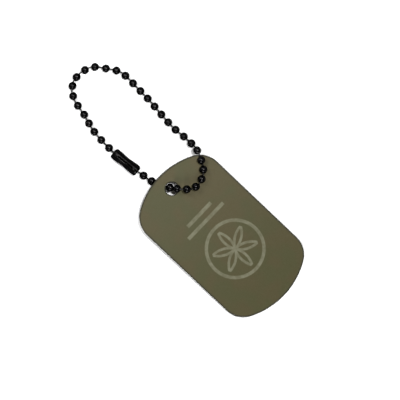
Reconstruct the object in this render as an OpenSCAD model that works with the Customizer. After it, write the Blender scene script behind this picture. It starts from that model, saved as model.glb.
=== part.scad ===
// Identification tag on a short ball chain: a flat metal plate with a hole near one end,
// a closed loop of hollow balls joined by wire links, and the sleeve that holds both ends
// of the chain. It lies on the floor as it was put down. The chain runs on the floor,
// climbs onto the plate's face, drops through the hole and comes out under the plate's
// head end, which therefore rests on it a little above the floor.
// Millimetres, Z up. The plate's length runs along Y with the hole towards +Y.

/* [Plate] */
// Length of the plate, end to end
tag_l = 51.6; // [40:0.1:64]
// Width of the plate, side to side
tag_w = 30.3; // [26:0.1:36]
// Thickness of the plate
tag_t = 1; // [0.6:0.05:2]
// Radius of the curve at each end of the plate
end_r = 23.5; // [20:0.1:40]
// Radius of the plate's four corners
corner_r = 7.4; // [4:0.1:10]
// Rounding along the plate's edges
edge_r = 0.25; // [0.1:0.05:0.3]

/* [Hole] */
// Diameter of the hole that the chain runs through
hole_d = 4; // [3.6:0.1:6]
// Distance from the middle of the hole to the end of the plate
hole_inset = 5.2; // [4:0.1:8]
// Chamfer round both rims of the hole
hole_chamfer = 0.15; // [0.05:0.05:0.25]

/* [Chain] */
// Diameter of a ball
ball_d = 2.4; // [2:0.05:2.7]
// Distance between the middles of two balls where the chain runs straight
ball_pitch = 3.175; // [2.9:0.025:3.8]
// Thickness of a ball's wall
ball_wall = 0.15; // [0.1:0.05:0.25]
// Diameter of the two holes in a ball that the links come out of
ball_hole_d = 0.75; // [0.6:0.05:0.8]
// Diameter of the wire of a link
link_wire_d = 0.45; // [0.2:0.05:0.5]
// Diameter of the round head on each end of a link
link_head_d = 0.8; // [0.8:0.05:0.9]

/* [Connector] */
// Length of the connector sleeve
sleeve_l = 9.3; // [8:0.1:11]
// Thickness of the sleeve's wall
sleeve_wall = 0.35; // [0.2:0.05:0.5]
// How far the sleeve is drawn in at its waist, on each side
waist_depth = 0.2; // [0.18:0.02:0.4]
// Width of the slot along the sleeve's top
slot_w = 0.6; // [0.45:0.05:1]
// Diameter of the opening in each end of the sleeve
mouth_d = 1.2; // [0.8:0.05:1.6]

/* [Clearances] */
// Gap between a ball and the plate that it lies on or under
seat_gap = 0.08; // [0.05:0.01:0.3]
// Gap between an end ball of the chain and its cup in the sleeve
cup_gap = 0.15; // [0.1:0.05:0.3]
// Gap between the two link heads inside a ball
head_gap = 0.1; // [0.1:0.05:0.2]

/* [Hidden] */
$fn = 48;

// The chain's route is a list of chosen balls, counted from the end ball in the connector.
// RIGHT and BEYOND give a ball's place from the middle of the hole, in ball pitches.
// RISE is 0 for a ball on the floor and 1 for a ball on the plate's face.
BALL = 0;
RIGHT = 1;
BEYOND = 2;
RISE = 3;
route = [
    [1, -1.3, 6.9, 0],
    [3, -1.15, 8.95, 0],
    [5, -0.65, 10.75, 0],
    [7, -0.1, 12.7, 0],
    [8, 0.55, 13.4, 0],
    [11, 3.3, 13.1, 0],
    [12, 3.9, 12.25, 0],
    [13, 4.45, 11.4, 0],
    [16, 4.6, 8.45, 0],
    [21, 4.25, 3.55, 0],
    [23, 4.35, 1.6, 0.15],
    [24, 4.25, 0.75, 0.64],
    [25, 3.85, -0.15, 1],
    [26, 3.35, -0.9, 1],
    [27, 2.6, -1.4, 1],
    [28, 1.7, -1.5, 1.05],
    [29, 0.95, -1.05, 1.15],
    [30, 0.35, -0.35, 0.98],
    [31, -0.05, 0.2, 0.44],
    [32, -0.45, 1.05, 0],
    [33, -0.8, 1.85, 0],
    [34, -0.95, 2.75, 0],
];
// The connector's middle, right of the middle of the hole and beyond it, in ball pitches
connector_at = [-1.2, 4.85];
// The way the connector points, turned from the X axis
connector_turn = 95;
// The ball that the plate's head end rests on is this far beyond the hole, in ball pitches
prop_beyond = 1.05;

ball_r = ball_d / 2;
ball_count = route[len(route) - 1][BALL] + 2;
last_ball = ball_count - 1;
// Distance from a ball's middle to the middle of its wall, where a link turns in its hole
pivot_r = ball_r - ball_wall / 2;
// Distance from that point in to the middle of the link's head
head_inset = pivot_r - (link_head_d + head_gap) / 2;

// The outline of one end of the plate: an end arc, and a corner arc tangent to it and the side.
// The arcs' middles are kept to a thousandth, so that neighbouring stretches share their faces.
function thousandths(v) = round(1000 * v) / 1000;
end_mid = [0, thousandths(tag_l / 2 - end_r)];
corner_x = thousandths(tag_w / 2 - corner_r);
corner_y = thousandths(end_mid.y + sqrt(pow(end_r - corner_r, 2) - pow(corner_x, 2)));
corner_mid = [corner_x, corner_y];
// A point well outside the plate, on the line where an end arc and a corner arc meet
arcs_meet = 2 * corner_mid - end_mid;
hole_y = tag_l / 2 - hole_inset;
// Chords in a quarter turn of the plate's rounded edge
edge_chords = 3;

// The plate leans on the floor along heel_y and on the chain's ball under its head end
heel_y = edge_r - tag_l / 2;
prop_run = hole_y + prop_beyond * ball_pitch - heel_y;
tilt = asin((ball_r + seat_gap) / norm([prop_run, ball_r])) + atan(ball_r / prop_run);
// A point of the plate's own middle plane section, after the plate is tilted, as [y, z]
function tilted(y, z) = [
    heel_y + (y - heel_y) * cos(tilt) - z * sin(tilt),
    (y - heel_y) * sin(tilt) + z * cos(tilt)
];
hole_at = tilted(hole_y, tag_t / 2)[0];
// Height of the middle of a ball that lies on the plate's face
function face_ball_z(y) = (y - heel_y) * tan(tilt) + (tag_t + ball_r + seat_gap) / cos(tilt);

// The sleeve is round its axis, with a cup for an end ball near each end
cup_r = ball_r + cup_gap;
sleeve_r = cup_r + sleeve_wall;
waist_r = sleeve_r - waist_depth;
// The end of the sleeve is rounded over this length, and its flat end face is smaller by it
shoulder = 0.8;
shoulder_chords = 6;
waist_chords = 12;
// Thickness of the sleeve's end in front of the cup, on the axis
cup_end = 0.05;
cup_out = sleeve_l / 2 - cup_end - cup_r;
channel_r = waist_r - sleeve_wall;
sleeve_way = [cos(connector_turn), sin(connector_turn), 0];
sleeve_mid = [
    connector_at[0] * ball_pitch,
    hole_at + connector_at[1] * ball_pitch,
    sleeve_r
];

// The route's rows as [ball number, x, y, z], with an end ball in each cup of the sleeve
function row_place(row) =
    let (y = hole_at + row[BEYOND] * ball_pitch)
    [row[BALL], row[RIGHT] * ball_pitch, y, ball_r + row[RISE] * (face_ball_z(y) - ball_r)];
function cup_place(number, side) =
    let (at = sleeve_mid + side * cup_out * sleeve_way)
    [number, at.x, at.y, at.z];
rows = concat(
    [cup_place(0, 1)],
    [for (row = route) row_place(row)],
    [cup_place(last_ball, -1)]
);

// A smooth curve through the rows gives the balls between them
function place(k) = [rows[k][1], rows[k][2], rows[k][3]];
function speed(k) = (place(k + 1) - place(k)) / (rows[k + 1][BALL] - rows[k][BALL]);
function slope(k) =
    k == 0 ? speed(0)
    : k == len(rows) - 1 ? speed(k - 1)
    : let (before = rows[k][BALL] - rows[k - 1][BALL], after = rows[k + 1][BALL] - rows[k][BALL])
      (after * speed(k - 1) + before * speed(k)) / (before + after);
function row_before(number, k = 0) =
    k + 2 == len(rows) || rows[k + 1][BALL] > number ? k : row_before(number, k + 1);
function curve(number) =
    let (
        k = row_before(number),
        span = rows[k + 1][BALL] - rows[k][BALL],
        t = (number - rows[k][BALL]) / span,
        ease = t * t * (3 - 2 * t)
    )
    (1 - ease) * place(k) + ease * place(k + 1)
    + span * (t * pow(1 - t, 2) * slope(k) - t * t * (1 - t) * slope(k + 1));
function above_floor(at) = [at.x, at.y, max(at.z, ball_r)];
balls = [for (number = [0:last_ball]) above_floor(curve(number))];

// Each ball turns until the line through its two holes halves the bend between its two links.
// A few small turns towards that, from the line between its neighbours, bring it there.
settle_turns = 12;
settle_share = 0.1;
function unit(v) = v / norm(v);
function link_from(i, ways) = balls[i] + pivot_r * ways[i];
function link_to(i, ways) = balls[i + 1] - pivot_r * ways[i + 1];
function link_way(i, ways) = unit(link_to(i, ways) - link_from(i, ways));
function settled(ways, turns) =
    turns == 0 ? ways
    : settled([
        for (i = [0:last_ball])
            i == 0 || i == last_ball ? sleeve_way
            : unit(
                (1 - 2 * settle_share) * ways[i]
                + settle_share * (link_way(i - 1, ways) + link_way(i, ways))
            )
    ], turns - 1);
ball_ways = settled([
    for (i = [0:last_ball]) unit(balls[min(i + 1, last_ball)] - balls[max(i - 1, 0)])
], settle_turns);

// The origin is under the middle of the whole part's box
low = [
    min(concat([-tag_w / 2], [for (at = balls) at.x - ball_r])),
    tilted(-tag_l / 2, tag_t - edge_r)[0]
];
high = [
    max(concat([tag_w / 2], [for (at = balls) at.x + ball_r])),
    max([for (at = balls) at.y + ball_r])
];
origin = -(low + high) / 2;

ball_names = [for (i = [0:last_ball]) str("ball_", i < 9 ? "0" : "", i + 1)];

// Turns the Z axis to point along a direction
module aim(way) {
    rotate([0, acos(way.z / norm(way)), atan2(way.y, way.x)])
        children();
}

// Moves a piece from the plate's own middle to the part's origin
module placed() {
    translate([origin.x, origin.y, 0])
        children();
}

// The plate's section from a vertical axis out to its rounded edge
function edge_section(reach) = concat(
    [[0, 0]],
    [for (i = [0:edge_chords]) let (a = 90 * i / edge_chords)
        [reach - edge_r * (1 - sin(a)), edge_r * (1 - cos(a))]],
    [for (i = [edge_chords:-1:0]) let (a = 90 * i / edge_chords)
        [reach - edge_r * (1 - sin(a)), tag_t - edge_r * (1 - cos(a))]],
    [[0, tag_t]]
);

module plate_middle() {
    half = edge_section(tag_w / 2);
    other_half = [for (i = [len(half) - 1:-1:0]) [-half[i].x, half[i].y]];
    translate([0, corner_y, 0])
        rotate([90, 0, 0])
            linear_extrude(2 * corner_y)
                polygon(concat(half, other_half));
}

// A stretch of the plate's rounded edge along an arc, kept within a flat outline
module edge_stretch(arc_mid, arc_r, outline) {
    intersection() {
        translate([arc_mid.x, arc_mid.y, 0])
            rotate_extrude()
                polygon(edge_section(arc_r));
        translate([0, 0, -tag_t])
            linear_extrude(3 * tag_t)
                polygon(outline);
    }
}

module plate_end() {
    edge_stretch(end_mid, end_r, [
        [-corner_x, corner_y], corner_mid, arcs_meet, [-arcs_meet.x, arcs_meet.y]
    ]);
    for (side = [0, 1])
        mirror([side, 0, 0])
            edge_stretch(corner_mid, corner_r, [
                corner_mid, [tag_w, corner_y], [tag_w, arcs_meet.y], arcs_meet
            ]);
}

module chain_hole() {
    cut = 1;
    translate([0, hole_y, 0]) {
        translate([0, 0, -cut])
            cylinder(d = hole_d, h = tag_t + 2 * cut);
        rim = hole_d / 2 + hole_chamfer;
        for (face = [0, 1])
            translate([0, 0, face * tag_t])
                mirror([0, 0, face])
                    translate([0, 0, -cut])
                        cylinder(r1 = rim + cut, r2 = hole_d / 2, h = hole_chamfer + cut);
    }
}

module tag() {
    color([0.4, 0.38, 0.29])
        placed()
            translate([0, heel_y, 0])
                rotate([tilt, 0, 0])
                    translate([0, -heel_y, 0])
                        difference() {
                            union() {
                                plate_middle();
                                for (end = [0, 1])
                                    mirror([0, end, 0])
                                        plate_end();
                            }
                            chain_hole();
                        }
}

// Half of the sleeve's outer section, from its waist to its end face, as [radius, height]
function sleeve_side() = concat(
    [for (i = [0:waist_chords]) let (t = i / waist_chords)
        [waist_r + waist_depth * (1 - cos(180 * t)) / 2, t * cup_out]],
    [for (i = [0:shoulder_chords]) let (a = 90 * i / shoulder_chords)
        [sleeve_r - shoulder * (1 - cos(a)), sleeve_l / 2 - shoulder * (1 - sin(a))]]
);

module sleeve_half() {
    difference() {
        rotate_extrude()
            polygon(concat([[0, 0]], sleeve_side(), [[0, sleeve_l / 2]]));
        translate([0, 0, cup_out])
            sphere(r = cup_r);
        cylinder(r = channel_r, h = 2 * cup_out, center = true);
        translate([0, 0, cup_out])
            cylinder(d = mouth_d, h = sleeve_l);
    }
}

module connector() {
    color([0.07, 0.07, 0.07])
        placed()
            translate(sleeve_mid)
                aim(sleeve_way)
                    difference() {
                        union()
                            for (half = [0, 1])
                                mirror([0, 0, half])
                                    sleeve_half();
                        translate([-2 * sleeve_r, -slot_w / 2, -sleeve_l])
                            cube([2 * sleeve_r, slot_w, 2 * sleeve_l]);
                    }
}

module ball(i) {
    color([0.05, 0.05, 0.05])
        placed()
            translate(balls[i])
                aim(ball_ways[i])
                    difference() {
                        sphere(r = ball_r);
                        sphere(r = ball_r - ball_wall);
                        cylinder(d = ball_hole_d, h = 2 * ball_d, center = true);
                    }
}

// A length of wire with a round head on each end, inside the two balls that it joins
module link(from, to) {
    wire_l = norm(to - from) + 2 * head_inset;
    translate(from)
        aim(to - from)
            translate([0, 0, -head_inset]) {
                cylinder(d = link_wire_d, h = wire_l);
                for (z = [0, wire_l])
                    translate([0, 0, z])
                        sphere(d = link_head_d);
            }
}

module chain_links() {
    color([0.12, 0.12, 0.12])
        placed()
            for (i = [0:last_ball - 1])
                link(link_from(i, ball_ways), link_to(i, ball_ways));
}

tag();
connector();
chain_links();
for (i = [0:last_ball])
    ball(i);
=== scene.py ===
import math
import random

import bpy
import numpy as np
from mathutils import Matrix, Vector


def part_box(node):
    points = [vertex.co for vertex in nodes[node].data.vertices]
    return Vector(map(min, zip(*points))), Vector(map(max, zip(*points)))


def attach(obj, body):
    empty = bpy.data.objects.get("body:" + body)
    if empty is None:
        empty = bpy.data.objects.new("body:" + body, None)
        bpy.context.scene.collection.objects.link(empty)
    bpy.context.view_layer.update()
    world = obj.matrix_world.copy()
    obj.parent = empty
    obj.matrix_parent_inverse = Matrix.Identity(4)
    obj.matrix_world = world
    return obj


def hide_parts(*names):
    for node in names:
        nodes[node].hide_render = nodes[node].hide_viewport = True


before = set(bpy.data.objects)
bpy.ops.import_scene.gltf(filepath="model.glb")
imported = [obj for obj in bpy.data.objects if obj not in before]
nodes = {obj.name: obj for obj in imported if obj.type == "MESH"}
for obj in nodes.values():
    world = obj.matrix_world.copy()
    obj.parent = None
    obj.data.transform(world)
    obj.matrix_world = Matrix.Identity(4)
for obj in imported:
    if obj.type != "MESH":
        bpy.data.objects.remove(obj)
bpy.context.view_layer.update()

MM = 0.001

# Sizes are in millimetres. The plate, the curves of its outline, its rounded edges and its hole
TAG_L, TAG_W, TAG_T = 51.6, 30.3, 1.0
END_R, CORNER_R, EDGE_R = 23.5, 7.4, 0.25
HOLE_R, HOLE_INSET, HOLE_CHAMFER = 2.0, 5.2, 0.15
# The flat ring of mesh round the hole's chamfer
HOLE_BORDER = 0.25
# Where the plate's painted rim shade fades out on the face, as (inset, darkness), and how dark the
# hole's walls are painted as shade
RIM_SHADE_FADE, HOLE_SHADE = ((0.42, 0.35), (0.75, 0.0)), 0.9
# The chain's balls, its links with their round heads, and the gap between two heads in a ball
BALL_R, BALL_WALL, BALL_HOLE_R, BALL_PITCH = 1.2, 0.15, 0.375, 3.175
LINK_R, HEAD_R, HEAD_GAP = 0.225, 0.4, 0.1
# The plate's gap to the ball that it rests on, which is this many ball pitches beyond the hole
SEAT_GAP, PROP_BEYOND = 0.08, 1.05
# The connector's outside, the cups for its end balls, the channel between them, its mouths
# and its slot
SLEEVE_L, SLEEVE_R, WAIST_R, SHOULDER = 9.3, 1.7, 1.5, 0.8
CUP_R, CUP_OUT, CHANNEL_R = 1.35, 3.25, 1.15
MOUTH_R, SLOT_W = 0.6, 0.6

# The lip round a ball's hole, as (distance past the hole's edge, place along the axis, rubbing)
BALL_LIP = (
    (0, 0.98, 0.0), (0, 1.10, 0.3), (0.012, 1.140, 0.8), (0.042, 1.158, 1.0), (0.075, 1.140, 0.8),
)
# Where the ball's round outside begins past the lip, in degrees from the axis
LIP_DEG = 24
# The depth of the ball's seam, and how close to its outside a point is that the seam draws in
SEAM_DEPTH, SEAM_REACH = 0.022, 0.02
# Where a link's head runs into its wire, as (how much thicker than the wire, how far from the head)
NECK = ((0.03, 0.0), (0.006, 0.12), (0, 0.3))
# How thin the wire is in its middle, next to LINK_R
WIRE_WAIST = 0.97
# How rubbed a link is on its wire and on its heads, and how close to LINK_R its wire is
WIRE_RUBBED, HEAD_RUBBED, WIRE_SLACK = 1.0, 0.2, 0.02
# The edge of the connector's mouth, as (distance past the mouth's edge, depth in from the end)
MOUTH_LIP = ((0.25, 0), (0.06, 0), (0.015, 0.02), (0, 0.06))
# How rubbed the connector's ends are, how deep that goes, and the rounding of its edges
END_RUBBED, END_REACH, EDGE_ROUNDING = 0.6, 0.03, 0.05

# The etched ring and its rosette of petals, below the middle of the plate's face
RING_DROP, RING_R, RING_HALF_W = 5.5, 8.6, 0.5
PETALS, PETAL_R, PETAL_HALF_W = 6, 7.0, 0.38
# The etched bars, as (distance above the middle, half the length), and half their width
BARS, BAR_HALF_W = ((6.6, 7.5), (9.3, 5.0)), 0.55
# Half the width of the blur along an etched edge
ETCH_BLUR = 0.12


# Camera, with the photograph's turn and framing.

# The middle of the view on a level VIEW_Z above the floor and the view's width, in millimetres
VIEW_MID, VIEW_Z, VIEW_WIDTH = (2.864, -7.601), 2.0, 119.3
# The view's turn, and the camera's lean from upright to the photograph's top, in degrees
VIEW_TURN, VIEW_LEAN = -46.416, 2.0
LENS, SENSOR = 400.0, 36.0

UP = np.array([0, 0, 1])
PHOTO_RIGHT = np.array([math.cos(math.radians(VIEW_TURN)), math.sin(math.radians(VIEW_TURN)), 0])
PHOTO_UP = np.array([-PHOTO_RIGHT[1], PHOTO_RIGHT[0], 0])

camera = bpy.data.objects.new("camera", bpy.data.cameras.new("camera"))
bpy.context.scene.collection.objects.link(camera)
camera.data.lens = LENS
camera.data.sensor_width = SENSOR
camera.data.clip_start, camera.data.clip_end = 0.01, 10.0
view_lean = math.radians(VIEW_LEAN)
view_way = math.sin(view_lean) * PHOTO_UP + math.cos(view_lean) * UP
camera.location = (np.array([*VIEW_MID, VIEW_Z]) + view_way * VIEW_WIDTH * LENS / SENSOR) * MM
camera.rotation_euler = (-view_lean, 0, math.radians(VIEW_TURN))
bpy.context.scene.camera = camera


# Helpers for meshes.

def new_piece(name, points, faces, material, replaced, sharp_deg):
    """A smooth mesh from points in millimetres, which stands for the named CAD nodes."""
    mesh = bpy.data.meshes.new(name)
    mesh.from_pydata([tuple(p) for p in np.asarray(points) * MM], [], faces)
    mesh.validate()
    mesh.polygons.foreach_set("use_smooth", [True] * len(mesh.polygons))
    mesh.set_sharp_from_angle(angle=math.radians(sharp_deg))
    mesh.materials.append(material)
    piece = bpy.data.objects.new(name, mesh)
    bpy.context.scene.collection.objects.link(piece)
    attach(piece, "root")
    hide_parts(*replaced)
    return piece


def set_weights(piece, name, values):
    """Keeps one number for each point of the mesh, which the material reads."""
    layer = piece.data.attributes.new(name, "FLOAT", "POINT")
    layer.data.foreach_set("value", np.asarray(values, dtype=np.float32))


def joined_rings(ring_count, ring_size, closed_rows=False):
    """Quads between rings of points in turn. Closed rows join the last ring to the first."""
    faces = []
    for r in range(ring_count if closed_rows else ring_count - 1):
        a, b = r * ring_size, (r + 1) % ring_count * ring_size
        for i in range(ring_size):
            j = (i + 1) % ring_size
            faces.append((a + i, a + j, b + j, b + i))
    return faces


def arc(first, last, count):
    """Angles in radians, evenly spread from one number of degrees to another."""
    return np.radians(np.linspace(first, last, count))


def unit(v):
    """A direction of length one, or one for each row."""
    return v / np.linalg.norm(v, axis=-1, keepdims=True)


def across(way):
    """Two directions at right angles to a direction of length one that isn't upright."""
    side = unit(np.cross(way, UP))
    return side, np.cross(side, way)


def turned(profile, angles, middle, way, first=0.0):
    """Rings of points for a profile of (distance from the axis, place along it)."""
    side, top = across(way)
    a = np.asarray(angles) + first
    spokes = np.outer(np.cos(a), side) + np.outer(np.sin(a), top)
    return np.concatenate([middle + way * z + spokes * r for r, z in profile])


# Helpers for materials.

class Nodes:
    """Short calls that add shader nodes and link them."""

    def __init__(self, name):
        self.material = bpy.data.materials.new(name)
        self.material.use_nodes = True
        self.tree = self.material.node_tree
        self.shader = self.tree.nodes["Principled BSDF"]

    def add(self, kind, **settings):
        node = self.tree.nodes.new(kind)
        for key, value in settings.items():
            setattr(node, key, value)
        return node

    def put(self, socket, value):
        """Gives a socket a constant or another node's output."""
        if isinstance(value, bpy.types.NodeSocket):
            self.tree.links.new(value, socket)
        else:
            socket.default_value = value

    def math(self, operation, *values, clamp=False):
        node = self.add("ShaderNodeMath", operation=operation, use_clamp=clamp)
        for socket, value in zip(node.inputs, values):
            self.put(socket, value)
        return node.outputs[0]

    def mix(self, share, a, b):
        """Colour a, turned to b by a share of 0 to 1."""
        node = self.add("ShaderNodeMix", data_type="RGBA")
        self.put(node.inputs[0], share)
        self.put(node.inputs[6], a)
        self.put(node.inputs[7], b)
        return node.outputs[2]

    def ramp(self, value, low, high, to_low=0.0, to_high=1.0):
        """A soft rise from to_low to to_high, while the value goes from low to high."""
        node = self.add("ShaderNodeMapRange", interpolation_type="SMOOTHSTEP")
        for socket, v in zip(node.inputs, (value, low, high, to_low, to_high)):
            self.put(socket, v)
        return node.outputs[0]

    def noise(self, place, scale, detail, rough):
        node = self.add("ShaderNodeTexNoise")
        self.put(node.inputs["Vector"], place)
        node.inputs["Scale"].default_value = scale
        node.inputs["Detail"].default_value = detail
        node.inputs["Roughness"].default_value = rough
        return node.outputs[0]

    def place_mm(self):
        """A point's own place in millimetres."""
        coords = self.add("ShaderNodeTexCoord")
        node = self.add("ShaderNodeVectorMath", operation="SCALE")
        self.put(node.inputs[0], coords.outputs["Object"])
        node.inputs["Scale"].default_value = 1000.0
        return node.outputs[0]

    def weight(self, name):
        """The number that set_weights keeps under this name."""
        return self.add("ShaderNodeAttribute", attribute_name=name).outputs["Fac"]

    def away_from(self, place, x, y):
        """Distance in plan from a point."""
        flat = self.add("ShaderNodeVectorMath", operation="MULTIPLY")
        self.put(flat.inputs[0], place)
        flat.inputs[1].default_value = (1, 1, 0)
        node = self.add("ShaderNodeVectorMath", operation="DISTANCE")
        self.put(node.inputs[0], flat.outputs[0])
        node.inputs[1].default_value = (x, y, 0)
        return node.outputs["Value"]

    def bump(self, height, distance_mm, strength, before=None):
        """The normal over a height of 0 to 1, on top of the normal of an earlier bump."""
        node = self.add("ShaderNodeBump")
        node.inputs["Strength"].default_value = strength
        node.inputs["Distance"].default_value = distance_mm * MM
        self.put(node.inputs["Height"], height)
        if before is not None:
            self.put(node.inputs["Normal"], before)
        return node.outputs[0]


def colour(r, g, b):
    """An sRGB colour of 0 to 255, none of it below 11, as the linear colour that Blender takes."""
    return tuple(((v / 255 + 0.055) / 1.055) ** 2.4 for v in (r, g, b)) + (1.0,)


# The plate's finish: olive and taupe, darker at its foot and paler at its head end as painted shade
# and light, and what lies over them, with a painted shade for the rim
OLIVE_SHADED_FOOT, TAUPE_SHADED_FOOT = colour(58, 57, 29), colour(62, 56, 30)
OLIVE_LIT_HEAD, TAUPE_LIT_HEAD = colour(68, 67, 45), colour(72, 66, 45)
SPECKLE, DULL_SPOT = colour(72, 70, 44), colour(60, 54, 36)
ETCHED, RIM_SHADE = colour(104, 103, 84), colour(34, 34, 26)
# The chain's black finish, with its paler clouds, and the steel where it is rubbed
BLACK, BLACK_CLOUD, RUBBED_STEEL = colour(26, 26, 27), colour(34, 33, 33), colour(150, 147, 142)


# The plate's place, from its box and the way it leans.

hole_y = TAG_L / 2 - HOLE_INSET
heel_y = EDGE_R - TAG_L / 2
prop_run = hole_y + PROP_BEYOND * BALL_PITCH - heel_y
tilt = math.asin((BALL_R + SEAT_GAP) / math.hypot(prop_run, BALL_R)) + math.atan(BALL_R / prop_run)
tag_low, tag_high = (np.array(corner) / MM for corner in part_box("tag"))


def leaned(points):
    """Points of the flat plate, tilted about its heel and moved to the plate's place."""
    p = np.asarray(points, float)
    y, z = p[:, 1] - heel_y, p[:, 2]
    return np.stack([
        p[:, 0],
        heel_y + y * math.cos(tilt) - z * math.sin(tilt),
        y * math.sin(tilt) + z * math.cos(tilt),
    ], axis=1)


rear = leaned([(0, -TAG_L / 2, TAG_T - EDGE_R)])[0]
tag_shift = np.array([(tag_low[0] + tag_high[0]) / 2, tag_low[1] - rear[1], 0.0])
tag_mid = leaned([(0, 0, TAG_T)])[0] + tag_shift


# Materials.

def tag_material():
    """Olive anodising, drifting in tone, with a pale etched design, painted light toward the head
    end and painted shade toward the foot, and a painted shade on the rim and in the hole.
    """
    n = Nodes("anodised_olive_plate")
    place = n.place_mm()
    sep = n.add("ShaderNodeSeparateXYZ")
    n.put(sep.inputs[0], place)
    x = n.math("SUBTRACT", sep.outputs[0], tag_mid[0])
    y = n.math("SUBTRACT", sep.outputs[1], tag_mid[1])

    def inside(depth):
        return n.ramp(depth, -ETCH_BLUR, ETCH_BLUR)

    def line(distance, half_w):
        return inside(n.math("SUBTRACT", half_w, n.math("ABSOLUTE", distance)))

    # A plain rosette in a ring. Its petals lie between circles of one size round the ring's middle
    ring_x, ring_y = tag_mid[0], tag_mid[1] - RING_DROP
    from_mid = n.away_from(place, ring_x, ring_y)
    etched = line(n.math("SUBTRACT", from_mid, RING_R), RING_HALF_W)
    petals = 0.0
    for i in range(PETALS):
        a = 2 * math.pi * (i + 0.5) / PETALS
        d = n.away_from(place, ring_x + PETAL_R * math.cos(a), ring_y + PETAL_R * math.sin(a))
        petals = n.math("MAXIMUM", petals, line(n.math("SUBTRACT", d, PETAL_R), PETAL_HALF_W))
    within = inside(n.math("SUBTRACT", PETAL_R, from_mid))
    etched = n.math("MAXIMUM", etched, n.math("MULTIPLY", petals, within))

    # Blank ruled bars above it
    for bar_y, bar_half in BARS:
        past_x = n.math("SUBTRACT", n.math("ABSOLUTE", x), bar_half)
        past_y = n.math("SUBTRACT", n.math("ABSOLUTE", n.math("SUBTRACT", y, bar_y)), BAR_HALF_W)
        past = n.math("MAXIMUM", past_x, past_y)
        etched = n.math("MAXIMUM", etched, inside(n.math("MULTIPLY", past, -1.0)))

    # Only the upper face is etched
    facing = n.add("ShaderNodeSeparateXYZ")
    n.put(facing.inputs[0], n.add("ShaderNodeNewGeometry").outputs["True Normal"])
    etched = n.math("MULTIPLY", etched, n.ramp(facing.outputs[2], 0.9, 0.97))
    patches = n.noise(place, scale=0.55, detail=2.0, rough=0.6)
    patchy = n.ramp(patches, 0.3, 0.7, to_low=0.55, to_high=1.0)
    etched_tone = n.math("MULTIPLY", etched, patchy)

    # Olive and taupe drift into each other across the plate. It is painted paler and greyer toward
    # the head end and darker toward the foot, as painted light and shade
    drift = n.ramp(n.noise(place, scale=0.16, detail=1.5, rough=0.45), 0.38, 0.62)
    foot = n.mix(drift, OLIVE_SHADED_FOOT, TAUPE_SHADED_FOOT)
    head = n.mix(drift, OLIVE_LIT_HEAD, TAUPE_LIT_HEAD)
    # Painted light and shade: the plate is paler toward its head end and darker toward its foot
    base = n.mix(n.ramp(y, -26.0, 26.0), foot, head)
    specks = n.noise(place, scale=5.0, detail=3.0, rough=0.65)
    speckle = n.ramp(specks, 0.3, 0.75, to_high=0.3)
    base = n.mix(speckle, base, SPECKLE)
    spots = n.noise(place, scale=0.9, detail=4.0, rough=0.7)
    wear = n.ramp(spots, 0.62, 0.8, to_high=0.25)
    base = n.mix(wear, base, DULL_SPOT)
    base = n.mix(etched_tone, base, ETCHED)
    # Painted shade: the rounded edges, the face just inside them and the hole's walls are darkened
    rim = n.weight("rim")
    base = n.mix(n.math("MULTIPLY", rim, 0.75), base, RIM_SHADE)
    n.put(n.shader.inputs["Base Color"], base)

    rough = n.noise(place, scale=2.2, detail=3.0, rough=0.6)
    rough = n.ramp(rough, 0.25, 0.75, to_low=0.55, to_high=0.66)
    rough = n.math("ADD", rough, n.math("MULTIPLY", etched, 0.12))
    n.put(n.shader.inputs["Roughness"], rough)
    n.shader.inputs["Metallic"].default_value = 0.1
    n.shader.inputs["Specular IOR Level"].default_value = 0.2

    # Blasted grain, a few long fine scratches, and the shallow step of the etching
    grain = n.noise(place, scale=9.0, detail=3.0, rough=0.6)
    relief = n.bump(grain, distance_mm=0.012, strength=0.6)
    stretch = n.add("ShaderNodeMapping")
    n.put(stretch.inputs[0], place)
    stretch.inputs["Rotation"].default_value = (0, 0, math.radians(31))
    stretch.inputs["Scale"].default_value = (0.06, 2.6, 1.0)
    streaks = n.noise(stretch.outputs[0], scale=1.0, detail=3.0, rough=0.7)
    unscratched = n.ramp(streaks, 0.69, 0.74, to_low=1.0, to_high=0.0)
    relief = n.bump(unscratched, distance_mm=0.004, strength=0.5, before=relief)
    unetched = n.math("SUBTRACT", 1.0, etched)
    relief = n.bump(unetched, distance_mm=0.03, strength=0.8, before=relief)
    n.put(n.shader.inputs["Normal"], relief)
    return n.material


def black_material(name, worn, rough_low, rough_high):
    """Black oxide on steel, worn where the mesh is rubbed, from the least roughness to the most."""
    n = Nodes(name)
    place = n.place_mm()
    cloud = n.ramp(n.noise(place, scale=0.8, detail=3.0, rough=0.6), 0.35, 0.7)
    base = n.mix(cloud, BLACK, BLACK_CLOUD)
    flecks = n.noise(place, scale=6.0, detail=3.0, rough=0.7)
    fleck = n.ramp(flecks, 0.6, 0.75, to_high=0.5)
    rubbed = n.math("MULTIPLY", n.weight("rubbed"), n.math("ADD", fleck, 0.5))
    base = n.mix(n.math("MULTIPLY", rubbed, worn, clamp=True), base, RUBBED_STEEL)
    n.put(n.shader.inputs["Base Color"], base)
    n.shader.inputs["Metallic"].default_value = 1.0
    n.shader.inputs["Specular Tint"].default_value = (0.0, 0.0, 0.0, 1.0)
    rough = n.noise(place, scale=1.7, detail=3.0, rough=0.6)
    rough = n.ramp(rough, 0.3, 0.7, to_low=rough_low, to_high=rough_high)
    n.put(n.shader.inputs["Roughness"], rough)
    peel = n.noise(place, scale=3.0, detail=2.0, rough=0.5)
    n.put(n.shader.inputs["Normal"], n.bump(peel, distance_mm=0.01, strength=0.35))
    return n.material


tag_metal = tag_material()
ball_metal = black_material("black_balls", worn=0.35, rough_low=0.20, rough_high=0.28)
link_metal = black_material("black_links", worn=0.10, rough_low=0.30, rough_high=0.42)
connector_metal = black_material("black_connector", worn=0.10, rough_low=0.22, rough_high=0.30)


# The plate.

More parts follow.
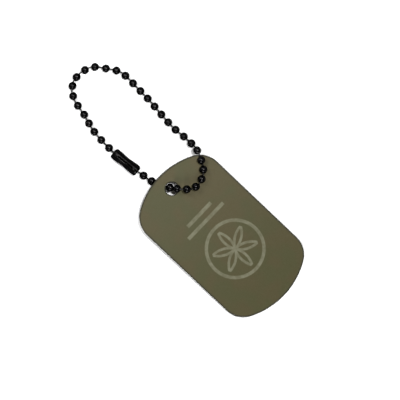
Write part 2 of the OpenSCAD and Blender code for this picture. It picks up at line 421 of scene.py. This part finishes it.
def plate_outline(inset):
    """The plate's outline, drawn in by an inset, counterclockwise from the right side."""
    end_mid = TAG_L / 2 - END_R
    corner_x = TAG_W / 2 - CORNER_R
    corner_y = end_mid + math.sqrt((END_R - CORNER_R) ** 2 - corner_x ** 2)
    meet = math.degrees(math.atan2(corner_y - end_mid, corner_x))

    def bend(x, y, r, first, last, steps):
        """Points round an arc, without the one at its end."""
        r -= inset
        angles = arc(first, last, steps + 1)[:-1]
        return [(x + r * math.cos(a), y + r * math.sin(a)) for a in angles]

    half = bend(corner_x, corner_y, CORNER_R, 0, meet, 16)
    half += bend(0, end_mid, END_R, meet, 180 - meet, 48)
    half += bend(-corner_x, corner_y, CORNER_R, 180 - meet, 180, 16)
    half += [(inset - TAG_W / 2, y) for y in np.linspace(corner_y, -corner_y, 20)[:-1]]
    return np.array(half + [(-x, -y) for x, y in half])


def flat_ring(plan, z):
    """Points of the plan, all at one height."""
    return np.column_stack([plan, np.full(len(plan), z)])


def make_tag():
    """Rings from the underside round the edge, over the face, down the hole and back below."""
    # Inset from the outline, height, and how dark the painted rim shade is there
    edge = [(EDGE_R * (1 - math.sin(a)), EDGE_R * (1 - math.cos(a)), 1.0) for a in arc(0, 90, 7)]
    edge += [(i, TAG_T - z, w) for i, z, w in reversed(edge)]
    edge += [(i, TAG_T, w) for i, w in RIM_SHADE_FADE]
    outer = [flat_ring(plate_outline(i), z) for i, z, w in edge]
    shade_weights = [w for i, z, w in edge]
    size = len(outer[0])
    spokes = unit(outer[-1][:, :2] - (0, hole_y))

    def hole_ring(r, z):
        return flat_ring(spokes * r + (0, hole_y), z)

    rim = [(HOLE_R + HOLE_CHAMFER * (1 - math.sin(a)), HOLE_CHAMFER * (1 - math.cos(a)))
           for a in arc(0, 90, 5)]
    hole = [hole_ring(HOLE_R + HOLE_CHAMFER + HOLE_BORDER, TAG_T)]
    hole += [hole_ring(r, TAG_T - z) for r, z in rim]
    hole += [hole_ring(r, z) for r, z in reversed(rim)]
    # The hole's walls are painted dark as shade
    hole_shade_weights = [0.0] + [HOLE_SHADE] * (2 * len(rim))
    between = np.linspace(0, 1, 12)[1:-1]
    face = [outer[-1] + (hole[0] - outer[-1]) * s for s in between]
    under = [hole[-1] + (outer[0] - hole[-1]) * s for s in between]
    rings = outer + face + hole + under
    shade_weights += [0.0] * len(face) + hole_shade_weights + [0.0] * len(under)
    points = leaned(np.concatenate(rings)) + tag_shift
    faces = joined_rings(len(rings), size, closed_rows=True)
    piece = new_piece("tag_plate", points, faces, tag_metal, ["tag"], sharp_deg=60)
    set_weights(piece, "rim", np.repeat(shade_weights, size))


make_tag()


# The chain: where its balls are and how they turn.

ball_names = sorted(name for name in nodes if name.startswith("ball_"))
balls = np.array([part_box(name) for name in ball_names]).mean(axis=1) / MM
sleeve_mid = (balls[0] + balls[-1]) / 2
sleeve_way = unit(balls[0] - balls[-1])
# How far from a ball's middle a link turns in its wall, and how far in from there its head is
PIVOT_R = BALL_R - BALL_WALL / 2
HEAD_INSET = PIVOT_R - (2 * HEAD_R + HEAD_GAP) / 2
# How often the balls turn until they settle, and the share that each of their links has in a turn
SETTLE_TURNS, SETTLE_SHARE = 12, 0.1


def ball_directions():
    """The way each ball's holes point: the ball turns until they halve the bend of its links."""
    last = len(balls) - 1
    ways = unit(np.array([balls[min(i + 1, last)] - balls[max(i - 1, 0)] for i in range(last + 1)]))
    for _ in range(SETTLE_TURNS):
        links = unit((balls[1:] - PIVOT_R * ways[1:]) - (balls[:-1] + PIVOT_R * ways[:-1]))
        turned_ways = ways.copy()
        kept = (1 - 2 * SETTLE_SHARE) * ways[1:-1]
        turned_ways[1:-1] = unit(kept + SETTLE_SHARE * (links[:-1] + links[1:]))
        turned_ways[0] = turned_ways[-1] = sleeve_way
        ways = turned_ways
    return ways


ways = ball_directions()


# Balls: rolled shells with a seam and a lip round each hole.

def ball_profile():
    """(distance from the axis, place along it, rubbing), over the outside and back inside."""
    lip = [(r + BALL_HOLE_R, z, w) for r, z, w in BALL_LIP]
    far_lip = [(r, -z, w) for r, z, w in reversed(lip)]

    def wall(r, first, last, count):
        return [(r * math.sin(a), r * math.cos(a), 0.0) for a in arc(first, last, count)]

    outside = wall(BALL_R, LIP_DEG, 180 - LIP_DEG, 25)
    inside = wall(BALL_R - BALL_WALL, 180 - LIP_DEG, LIP_DEG, 11)
    return lip + outside + far_lip + inside


def make_balls():
    """Each ball is turned about its own axis by chance, so that its seam shows or not."""
    rng = random.Random(7)
    profile = ball_profile()
    # Degrees round the axis, close together at the seam
    seam = [-4.0, -1.4, 0.0, 1.4, 4.0]
    angles = np.radians(np.array(seam + list(range(12, 349, 8)), float))
    faces = joined_rings(len(profile), len(angles), closed_rows=True)
    rubbed = np.repeat([w for r, z, w in profile], len(angles))
    for name, middle, way in zip(ball_names, balls, ways):
        first = math.radians(rng.uniform(0, 360))
        points = turned([(r, z) for r, z, w in profile], angles, middle, way, first)
        rows = points.reshape(len(profile), len(angles), 3)
        groove = seam.index(0.0)
        for k, (r, z, w) in enumerate(profile):
            if math.hypot(r, z) > BALL_R - SEAM_REACH:
                rows[k, groove] = middle + (rows[k, groove] - middle) * (1 - SEAM_DEPTH / BALL_R)
        shell = rows.reshape(-1, 3)
        piece = new_piece(name + "_shell", shell, faces,
                          ball_metal, [name], sharp_deg=55)
        set_weights(piece, "rubbed", rubbed)


make_balls()


# Links: wires that swell into a round head inside each ball.

def make_links():
    """One mesh for all the links, each a profile turned round the line between two balls' holes."""
    angles = np.radians(np.arange(0, 360, 20.0))
    neck_out = math.sqrt(HEAD_R ** 2 - (LINK_R + NECK[0][0]) ** 2)
    points, faces, rubbed = [], [], []
    for a, b, way_a, way_b in zip(balls[:-1], balls[1:], ways[:-1], ways[1:]):
        start, stop = a + PIVOT_R * way_a, b - PIVOT_R * way_b
        way = unit(stop - start)
        reach = np.linalg.norm(stop - start) / 2 + HEAD_INSET
        half = [(HEAD_R * math.sin(t), -reach - HEAD_R * math.cos(t)) for t in arc(4, 138, 9)]
        half += [(LINK_R + thicker, -reach + neck_out + past) for thicker, past in NECK]
        half += [(LINK_R * WIRE_WAIST, 0.0)]
        profile = half + [(r, -z) for r, z in reversed(half[:-1])]
        base = sum(len(p) for p in points)
        ring = turned(profile, angles, (start + stop) / 2, way)
        points.append(ring)
        faces += [tuple(base + v for v in f) for f in joined_rings(len(profile), len(angles))]
        faces.append(tuple(base + v for v in reversed(range(len(angles)))))
        faces.append(tuple(base + len(ring) - len(angles) + v for v in range(len(angles))))
        worn = [WIRE_RUBBED if abs(r - LINK_R) < WIRE_SLACK else HEAD_RUBBED for r, z in profile]
        rubbed += list(np.repeat(worn, len(angles)))
    points = np.concatenate(points)
    piece = new_piece("chain_wires", points, faces,
                      link_metal, ["chain_links"], sharp_deg=60)
    set_weights(piece, "rubbed", rubbed)


make_links()


# Connector: a rolled sleeve with a slot along its top.

def sleeve_profile():
    """(distance from the axis, place along it), from the waist out to the end and back inside."""
    end = SLEEVE_L / 2
    out = [(WAIST_R + (SLEEVE_R - WAIST_R) * (1 - math.cos(math.pi * t)) / 2, t * CUP_OUT)
           for t in np.linspace(0, 1, 25)]
    out += [(SLEEVE_R, (CUP_OUT + end - SHOULDER) / 2)]
    out += [(SLEEVE_R - SHOULDER * (1 - math.cos(a)), end - SHOULDER * (1 - math.sin(a)))
            for a in arc(0, 90, 13)]
    out += [(MOUTH_R + past, end - depth) for past, depth in MOUTH_LIP]
    first = math.asin(MOUTH_R / CUP_R)
    last = math.pi - math.asin(CHANNEL_R / CUP_R)
    out += [(CUP_R * math.sin(a), CUP_OUT + CUP_R * math.cos(a))
            for a in np.linspace(first, last, 16)]
    out += [(CHANNEL_R, z) for z in np.linspace(CUP_OUT + CUP_R * math.cos(last), 0, 8)[1:]]
    return out


def make_connector():
    """The profile is turned from one side of the slot round to the other, and closed at both."""
    half = sleeve_profile()
    profile = half + [(r, -z) for r, z in reversed(half[1:-1])]
    columns = 57
    side, top = across(sleeve_way)
    spread = np.linspace(0, 1, columns)
    points = []
    for r, z in profile:
        open_half = math.asin(SLOT_W / 2 / r)
        a = open_half + spread * (2 * math.pi - 2 * open_half)
        middle = sleeve_mid + sleeve_way * z
        points.append(middle + np.outer(np.cos(a) * r, top) + np.outer(np.sin(a) * r, side))
    rows = len(profile)
    faces = []
    for k in range(rows):
        a, b = k * columns, (k + 1) % rows * columns
        faces += [(a + i, a + i + 1, b + i + 1, b + i) for i in range(columns - 1)]
    faces.append(tuple(k * columns for k in range(rows)))
    faces.append(tuple(k * columns + columns - 1 for k in reversed(range(rows))))
    points = np.concatenate(points)
    piece = new_piece("connector_sleeve", points, faces,
                      connector_metal, ["connector"], sharp_deg=45)
    slot_edge = np.zeros((rows, columns))
    slot_edge[:, :2] = slot_edge[:, -2:] = 1.0
    at_end = np.array([abs(abs(z) - SLEEVE_L / 2) < END_REACH for r, z in profile])[:, None]
    set_weights(piece, "rubbed", np.maximum(slot_edge, at_end * END_RUBBED).ravel())
    rounding = piece.modifiers.new("rolled_edges", "BEVEL")
    rounding.width = EDGE_ROUNDING * MM
    rounding.segments = 3
    rounding.limit_method = "ANGLE"
    rounding.angle_limit = math.radians(50)


make_connector()


# Stage and light.

def make_floor(half_width, depth):
    """A pale floor of square tiles in metres, a hair below the part."""
    grid = np.linspace(-half_width, half_width, 9)
    row = len(grid)
    points = [(x, y, -depth) for y in grid for x in grid]
    faces = [(j * row + i, j * row + i + 1, (j + 1) * row + i + 1, (j + 1) * row + i)
             for j in range(row - 1) for i in range(row - 1)]
    mesh = bpy.data.meshes.new("floor")
    mesh.from_pydata(points, [], faces)
    floor = bpy.data.objects.new("floor", mesh)
    bpy.context.scene.collection.objects.link(floor)
    n = Nodes("pale_floor")
    n.shader.inputs["Base Color"].default_value = (0.97, 0.97, 0.97, 1)
    n.shader.inputs["Roughness"].default_value = 0.9
    n.shader.inputs["Specular IOR Level"].default_value = 0.1
    mesh.materials.append(n.material)


def area_light(name, lean, distance, size, share):
    """A square softbox that points at the middle of the view.

    Its way is straight up, leaned to the right and to the top of the photograph. Its share is
    how bright it makes a white floor in the middle of the view, next to a white sky of strength 1.
    """
    middle = np.array([VIEW_MID[0], VIEW_MID[1], 0]) * MM
    way = unit(lean[0] * PHOTO_RIGHT + lean[1] * PHOTO_UP + UP)
    data = bpy.data.lights.new(name, "AREA")
    data.shape = "SQUARE"
    data.size = size
    data.energy = share * (math.pi * distance) ** 2 / way[2]
    lamp = bpy.data.objects.new(name, data)
    bpy.context.scene.collection.objects.link(lamp)
    lamp.location = middle + way * distance
    lamp.rotation_mode = "QUATERNION"
    lamp.rotation_quaternion = Vector(way).to_track_quat("Z", "Y")


def make_world(horizon, overhead, reach):
    """White light all round, from one strength at the horizon to another past a rise of reach."""
    world = bpy.data.worlds.new("pale_studio")
    world.use_nodes = True
    tree = world.node_tree
    background = tree.nodes["Background"]
    background.inputs["Color"].default_value = (1.0, 1.0, 1.0, 1.0)
    direction = tree.nodes.new("ShaderNodeTexCoord")
    parts = tree.nodes.new("ShaderNodeSeparateXYZ")
    fall = tree.nodes.new("ShaderNodeMapRange")
    fall.interpolation_type = "SMOOTHSTEP"
    for socket, value in zip(fall.inputs[1:5], (0.0, reach, horizon, overhead)):
        socket.default_value = value
    tree.links.new(direction.outputs["Generated"], parts.inputs[0])
    tree.links.new(parts.outputs["Z"], fall.inputs[0])
    tree.links.new(fall.outputs[0], background.inputs["Strength"])
    bpy.context.scene.world = world


# Each softbox's name, its lean to the right and to the top, its distance and size in metres, and
# its share
SOFTBOXES = (
    ("key_softbox", (0.20, 0.17), 1.2, 0.12, 0.84),
    ("upper_softbox", (-0.60, 0.62), 0.20, 0.10, 0.40),
    ("low_softbox", (-0.10, -1.50), 0.6, 0.22, 0.36),
)

make_floor(half_width=1.6, depth=0.00002)
for softbox in SOFTBOXES:
    area_light(*softbox)
make_world(horizon=0.85, overhead=0.09, reach=0.2)
bpy.context.scene.view_settings.view_transform = "Standard"
